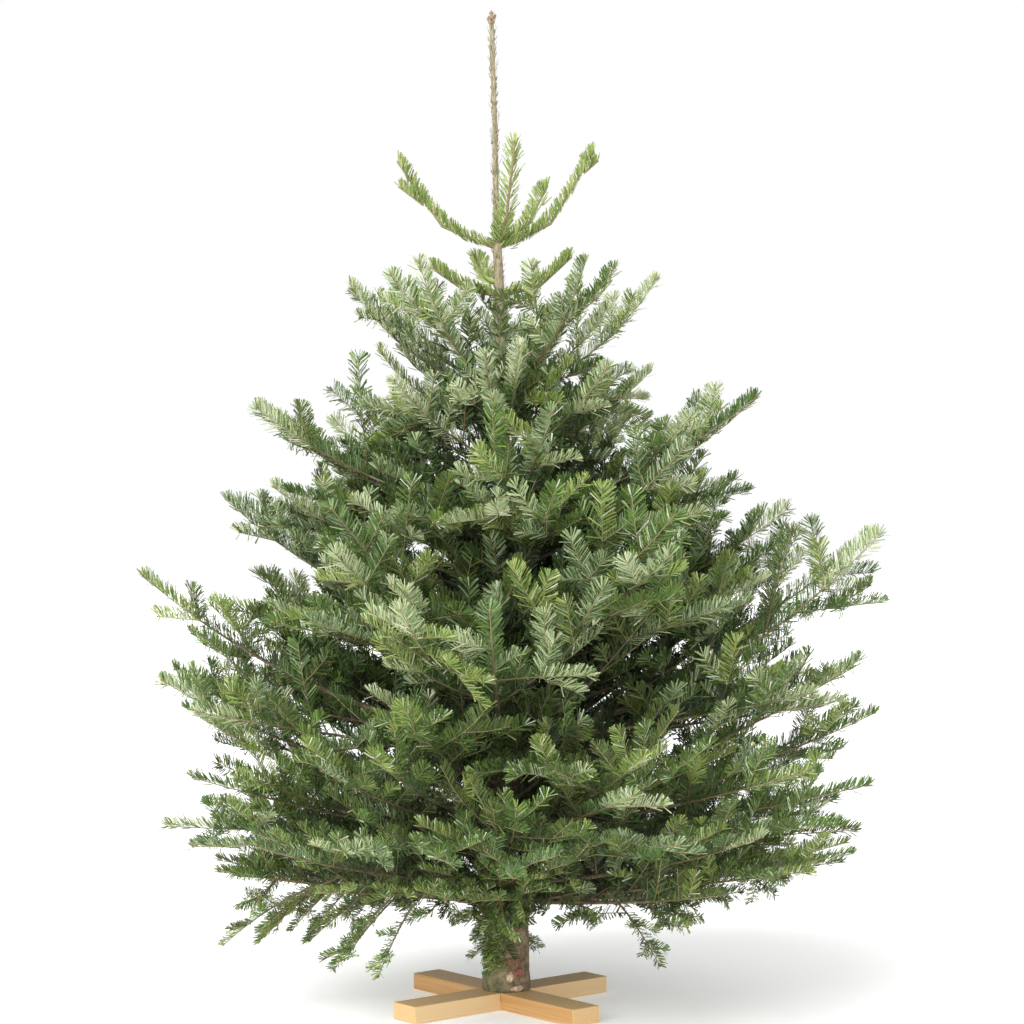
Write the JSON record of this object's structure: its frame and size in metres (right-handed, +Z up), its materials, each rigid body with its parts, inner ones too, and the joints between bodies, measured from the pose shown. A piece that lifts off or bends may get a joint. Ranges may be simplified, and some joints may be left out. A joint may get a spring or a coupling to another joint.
{
  "type": "cut fir christmas tree on a wooden cross stand",
  "caption": "Cut fir christmas tree, broad and dense below with a long bare leader, standing on a plain half-lapped pine cross; undecorated.",
  "frame": {"origin": "middle of the stand's flat underside, on the lower board, straight below the trunk", "axes": "+Z up along the trunk, -Y towards the viewer of the picture, +X to that viewer's right"},
  "size_m": [1.2835, 1.1987, 1.6793],
  "materials": {
    "bark": "smooth grey-green young fir bark with raised breathing pores and resin blisters, browner on one side",
    "bough_bark": "thin tan to grey-brown bark, matte",
    "needles": "waxy satin needles, mid to dark green with paler, greyer undersides",
    "new_needles": "waxy satin needles of the last season, lighter green",
    "pine_board": "planed, unfinished pine, matte, with knots"
  },
  "bodies": {
    "root": {"stand_board_lower": "pine_board", "stand_board_upper": "pine_board", "trunk": "bark", "top_shoot_left": "new_needles", "top_shoot_right": "new_needles", "top_shoot_behind": "new_needles", "top_shoot_front": "new_needles", "weak_shoot_left": "new_needles", "weak_shoot_right": "new_needles", "weak_shoot_behind": "new_needles", "foliage_1_1": "needles", "foliage_1_2": "needles", "foliage_1_3": "needles", "foliage_1_4": "needles", "foliage_1_5": "needles", "foliage_2_1": "needles", "foliage_2_2": "needles", "foliage_2_3": "needles", "foliage_2_4": "needles", "foliage_2_5": "needles", "foliage_3_1": "needles", "bough_3_1": "bough_bark", "foliage_3_2": "needles", "bough_3_2": "bough_bark", "foliage_3_3": "needles", "bough_3_3": "bough_bark", "foliage_3_4": "needles", "bough_3_4": "bough_bark", "foliage_3_5": "needles", "bough_3_5": "bough_bark", "foliage_4_1": "needles", "bough_4_1": "bough_bark", "foliage_4_2": "needles", "bough_4_2": "bough_bark", "foliage_4_3": "needles", "bough_4_3": "bough_bark", "foliage_4_4": "needles", "bough_4_4": "bough_bark", "foliage_4_5": "needles", "bough_4_5": "bough_bark", "foliage_5_1": "needles", "bough_5_1": "bough_bark", "foliage_5_2": "needles", "bough_5_2": "bough_bark", "foliage_5_3": "needles", "bough_5_3": "bough_bark", "foliage_5_4": "needles", "bough_5_4": "bough_bark", "foliage_5_5": "needles", "bough_5_5": "bough_bark", "foliage_6_1": "needles", "bough_6_1": "bough_bark", "foliage_6_2": "needles", "bough_6_2": "bough_bark", "foliage_6_3": "needles", "bough_6_3": "bough_bark", "foliage_6_4": "needles", "bough_6_4": "bough_bark", "foliage_6_5": "needles", "bough_6_5": "bough_bark"}
  },
  "joints": []
}
